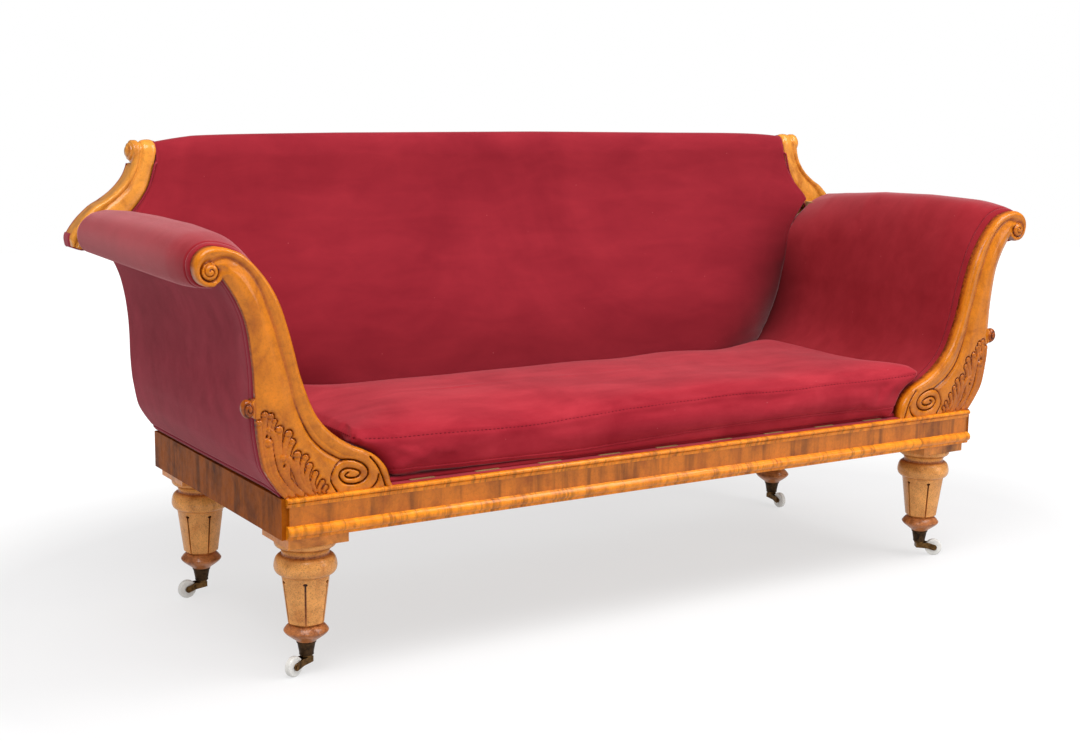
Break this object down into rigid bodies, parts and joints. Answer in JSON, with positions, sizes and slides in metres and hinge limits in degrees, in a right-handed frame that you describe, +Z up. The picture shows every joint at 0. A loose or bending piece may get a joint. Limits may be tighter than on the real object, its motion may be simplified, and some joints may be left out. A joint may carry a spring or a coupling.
{
  "type": "recamier",
  "caption": "Scroll-arm sofa with carved show-wood fronts, a loose squab cushion, a stuffed back and turned legs on casters.",
  "frame": {"origin": "middle of the footprint on the floor", "axes": "+Z up, +X to the sofa's right as seen from the front, +Y towards the back"},
  "size_m": [2.0338, 0.7282, 0.951],
  "materials": {
    "maple": "polished",
    "deal": "raw",
    "velvet": "velvet",
    "jute": "woven",
    "dark_bronze": "patinated",
    "brass": "aged",
    "ceramic": "glazed"
  },
  "bodies": {
    "sofa": {"front_rail": "deal", "front_frieze": "maple", "rail_top_bead": "maple", "rail_torus": "maple", "back_rail": "deal", "side_rail_left": "maple", "side_rail_right": "maple", "seat_bearers": "deal", "corner_blocks": "deal", "tablet_front_left": "maple", "tablet_back_left": "maple", "tablet_front_right": "maple", "tablet_back_right": "maple", "leg_front_left": "maple", "leg_back_left": "maple", "leg_front_right": "maple", "leg_back_right": "maple", "cup_front_left": "dark_bronze", "cup_back_left": "dark_bronze", "cup_front_right": "dark_bronze", "cup_back_right": "dark_bronze", "arm_front_left": "maple", "arm_front_right": "maple", "arm_stump_left": "deal", "arm_stump_right": "deal", "arm_back_stump_left": "deal", "arm_back_stump_right": "deal", "arm_top_rail_left": "deal", "arm_top_rail_right": "deal", "arm_pad_left": "velvet", "arm_pad_right": "velvet", "arm_outside_left": "velvet", "arm_outside_right": "velvet", "back_ear_left": "maple", "back_ear_right": "maple", "back_post_left": "deal", "back_post_right": "deal", "back_top_rail": "deal", "back_stay_rail": "deal", "back_muntin": "deal", "back_pad": "velvet", "back_outside": "velvet", "seat_webbing": "jute", "seat_deck": "velvet"},
    "cushion": {"seat_cushion": "velvet"},
    "swivel_front_left": {"horn_front_left": "brass", "axle_front_left": "brass"},
    "roller_front_left": {"wheel_front_left": "ceramic"},
    "swivel_back_left": {"horn_back_left": "brass", "axle_back_left": "brass"},
    "roller_back_left": {"wheel_back_left": "ceramic"},
    "swivel_front_right": {"horn_front_right": "brass", "axle_front_right": "brass"},
    "roller_front_right": {"wheel_front_right": "ceramic"},
    "swivel_back_right": {"horn_back_right": "brass", "axle_back_right": "brass"},
    "roller_back_right": {"wheel_back_right": "ceramic"}
  },
  "joints": [
    {"name": "cushion_lift", "type": "slide", "parent": "sofa", "child": "cushion", "axis": [0, 0, 1], "range_m": [0, 0.25]},
    {"name": "swivel_front_left_turn", "type": "hinge", "parent": "sofa", "child": "swivel_front_left", "pos_m": [-0.775, -0.28615, 0.03], "axis": [0, 0, 1], "continuous": true},
    {"name": "roller_front_left_turn", "type": "hinge", "parent": "swivel_front_left", "child": "roller_front_left", "pos_m": [-0.8063, -0.29944, 0.019], "axis": [0.3907, -0.9205, 0], "continuous": true},
    {"name": "swivel_back_left_turn", "type": "hinge", "parent": "sofa", "child": "swivel_back_left", "pos_m": [-0.775, 0.24385, 0.03], "axis": [0, 0, 1], "continuous": true},
    {"name": "roller_back_left_turn", "type": "hinge", "parent": "swivel_back_left", "child": "roller_back_left", "pos_m": [-0.80881, 0.2403, 0.019], "axis": [0.1045, -0.9945, 0], "continuous": true},
    {"name": "swivel_front_right_turn", "type": "hinge", "parent": "sofa", "child": "swivel_front_right", "pos_m": [0.775, -0.28615, 0.03], "axis": [0, 0, 1], "continuous": true},
    {"name": "roller_front_right_turn", "type": "hinge", "parent": "swivel_front_right", "child": "roller_front_right", "pos_m": [0.80383, -0.30417, 0.019], "axis": [0.5299, 0.848, 0], "continuous": true},
    {"name": "swivel_back_right_turn", "type": "hinge", "parent": "sofa", "child": "swivel_back_right", "pos_m": [0.775, 0.24385, 0.03], "axis": [0, 0, 1], "continuous": true},
    {"name": "roller_back_right_turn", "type": "hinge", "parent": "swivel_back_right", "child": "roller_back_right", "pos_m": [0.77381, 0.20987, 0.019], "axis": [0.9994, -0.0349, 0], "continuous": true}
  ]
}
